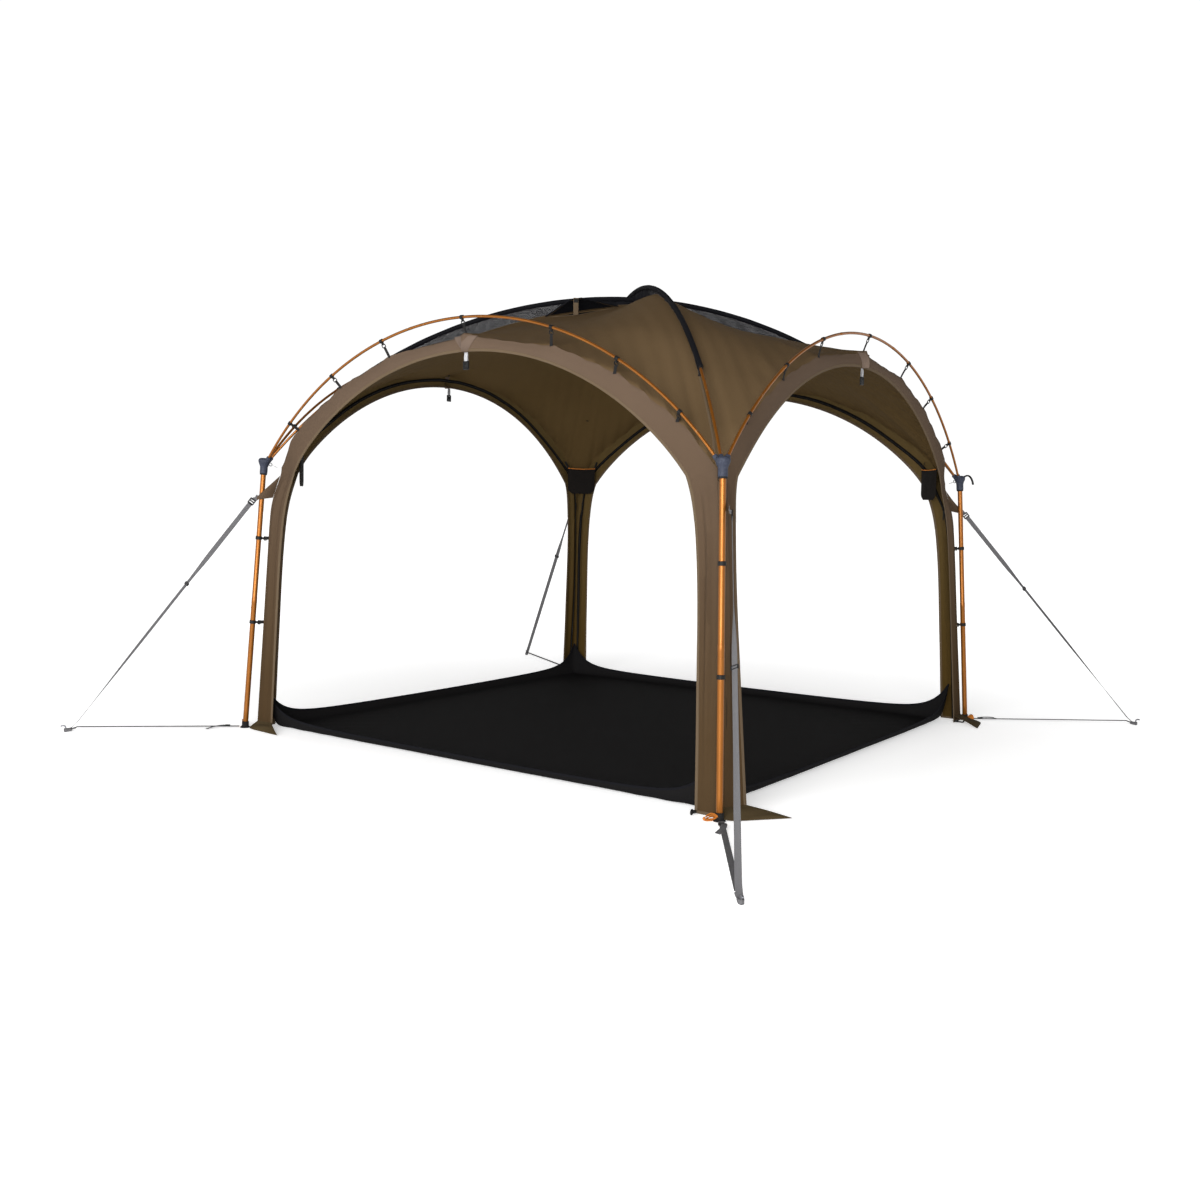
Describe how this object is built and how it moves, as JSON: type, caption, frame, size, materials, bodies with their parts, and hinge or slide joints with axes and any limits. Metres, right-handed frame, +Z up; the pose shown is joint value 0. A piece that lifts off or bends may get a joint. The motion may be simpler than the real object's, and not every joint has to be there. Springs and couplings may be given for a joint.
{
  "type": "tarp shelter",
  "caption": "Square domed pole shelter, open on every side: hub-jointed arch and ridge poles, hung canopy, roof vent, floor sheet and webbing guys to ground pegs.",
  "frame": {"origin": "on the ground, under the middle of the roof", "axes": "+Z up, +X and +Y square to the open sides, front side towards -Y"},
  "size_m": [4.7174, 4.4189, 2.4655],
  "materials": {
    "pole_orange": "orange anodised, satin",
    "hub_slate": "moulded, fine texture",
    "canopy_brown": "coated woven polyester",
    "sleeve_black": "woven pole sleeve",
    "pocket_black": "woven pouch",
    "floor_black": "coated floor cloth",
    "webbing_grey": "woven webbing",
    "hardware_black": "moulded acetal",
    "foot_rubber": "moulded",
    "peg_steel": "dark coated"
  },
  "bodies": {
    "frame": {"leg_pole_front_left": "pole_orange", "pole_foot_front_left": "foot_rubber", "hub_front_left": "hub_slate", "leg_panel_front_left": "canopy_brown", "corner_pocket_front_left": "pocket_black", "ladder_lock_front_left": "hardware_black", "guy_strap_front_left": "webbing_grey", "ground_strap_front_left": "webbing_grey", "leg_pole_front_right": "pole_orange", "pole_foot_front_right": "foot_rubber", "hub_front_right": "hub_slate", "leg_panel_front_right": "canopy_brown", "corner_pocket_front_right": "pocket_black", "ladder_lock_front_right": "hardware_black", "guy_strap_front_right": "webbing_grey", "ground_strap_front_right": "webbing_grey", "leg_pole_back_right": "pole_orange", "pole_foot_back_right": "foot_rubber", "hub_back_right": "hub_slate", "leg_panel_back_right": "canopy_brown", "corner_pocket_back_right": "pocket_black", "ladder_lock_back_right": "hardware_black", "guy_strap_back_right": "webbing_grey", "ground_strap_back_right": "webbing_grey", "leg_pole_back_left": "pole_orange", "pole_foot_back_left": "foot_rubber", "hub_back_left": "hub_slate", "leg_panel_back_left": "canopy_brown", "corner_pocket_back_left": "pocket_black", "ladder_lock_back_left": "hardware_black", "guy_strap_back_left": "webbing_grey", "ground_strap_back_left": "webbing_grey", "side_arch_front": "pole_orange", "roof_panel_front": "canopy_brown", "side_arch_right": "pole_orange", "roof_panel_right": "canopy_brown", "side_arch_back": "pole_orange", "roof_panel_back": "canopy_brown", "side_arch_left": "pole_orange", "roof_panel_left": "canopy_brown", "ridge_pole_lower": "pole_orange", "ridge_sleeve_lower": "sleeve_black", "ridge_pole_upper": "pole_orange", "ridge_sleeve_upper": "sleeve_black", "ground_sheet": "floor_black"},
    "hanging_buckle_front": {"hanging_buckle_front": "hardware_black"},
    "hanging_buckle_right": {"hanging_buckle_right": "hardware_black"},
    "hanging_buckle_back": {"hanging_buckle_back": "hardware_black"},
    "hanging_buckle_left": {"hanging_buckle_left": "hardware_black"},
    "guy_slider_front_left": {"guy_slider_front_left": "hardware_black"},
    "ground_peg_front_left": {"ground_peg_front_left": "peg_steel"},
    "guy_slider_front_right": {"guy_slider_front_right": "hardware_black"},
    "ground_peg_front_right": {"ground_peg_front_right": "peg_steel"},
    "guy_slider_back_right": {"guy_slider_back_right": "hardware_black"},
    "ground_peg_back_right": {"ground_peg_back_right": "peg_steel"},
    "guy_slider_back_left": {"guy_slider_back_left": "hardware_black"},
    "ground_peg_back_left": {"ground_peg_back_left": "peg_steel"},
    "vent_prop": {"vent_prop": "canopy_brown"},
    "vent_hood": {"vent_hood": "canopy_brown"}
  },
  "joints": [
    {"name": "front_buckle_swing", "type": "hinge", "parent": "frame", "child": "hanging_buckle_front", "pos_m": [0, -1.3935, 1.9715], "axis": [1, 0, 0], "range_deg": [-70, 70]},
    {"name": "right_buckle_swing", "type": "hinge", "parent": "frame", "child": "hanging_buckle_right", "pos_m": [1.3935, 0, 1.9715], "axis": [0, 1, 0], "range_deg": [-70, 70]},
    {"name": "back_buckle_swing", "type": "hinge", "parent": "frame", "child": "hanging_buckle_back", "pos_m": [0, 1.3935, 1.9715], "axis": [-1, 0, 0], "range_deg": [-70, 70]},
    {"name": "left_buckle_swing", "type": "hinge", "parent": "frame", "child": "hanging_buckle_left", "pos_m": [-1.3935, 0, 1.9715], "axis": [0, -1, 0], "range_deg": [-70, 70]},
    {"name": "front_left_slider_travel", "type": "slide", "parent": "frame", "child": "guy_slider_front_left", "axis": [-0.4002, -0.4504, -0.7981], "range_m": [0, 0.3]},
    {"name": "front_left_peg_pull", "type": "slide", "parent": "frame", "child": "ground_peg_front_left", "axis": [0, 0, 1], "range_m": [0, 0.15]},
    {"name": "front_right_slider_travel", "type": "slide", "parent": "frame", "child": "guy_slider_front_right", "axis": [0.3446, -0.5419, -0.7665], "range_m": [0, 0.3]},
    {"name": "front_right_peg_pull", "type": "slide", "parent": "frame", "child": "ground_peg_front_right", "axis": [0, 0, 1], "range_m": [0, 0.15]},
    {"name": "back_right_slider_travel", "type": "slide", "parent": "frame", "child": "guy_slider_back_right", "axis": [0.555, 0.3292, -0.7639], "range_m": [0, 0.3]},
    {"name": "back_right_peg_pull", "type": "slide", "parent": "frame", "child": "ground_peg_back_right", "axis": [0, 0, 1], "range_m": [0, 0.15]},
    {"name": "back_left_slider_travel", "type": "slide", "parent": "frame", "child": "guy_slider_back_left", "axis": [-0.5199, 0.3137, -0.7946], "range_m": [0, 0.3]},
    {"name": "back_left_peg_pull", "type": "slide", "parent": "frame", "child": "ground_peg_back_left", "axis": [0, 0, 1], "range_m": [0, 0.15]},
    {"name": "vent_prop_fold", "type": "hinge", "parent": "frame", "child": "vent_prop", "pos_m": [-0.13753, -0.35179, 2.29456], "axis": [0.7071, 0.7071, 0], "range_deg": [0, 85]},
    {"name": "vent_hood_close", "type": "hinge", "parent": "frame", "child": "vent_hood", "pos_m": [-0.18031, -0.23688, 2.32966], "axis": [0.696, 0.696, 0.1769], "range_deg": [0, 33]}
  ],
  "couplings": [
    {"joint": "vent_hood_close", "follows": "vent_prop_fold", "ratio": 0.38814}
  ]
}
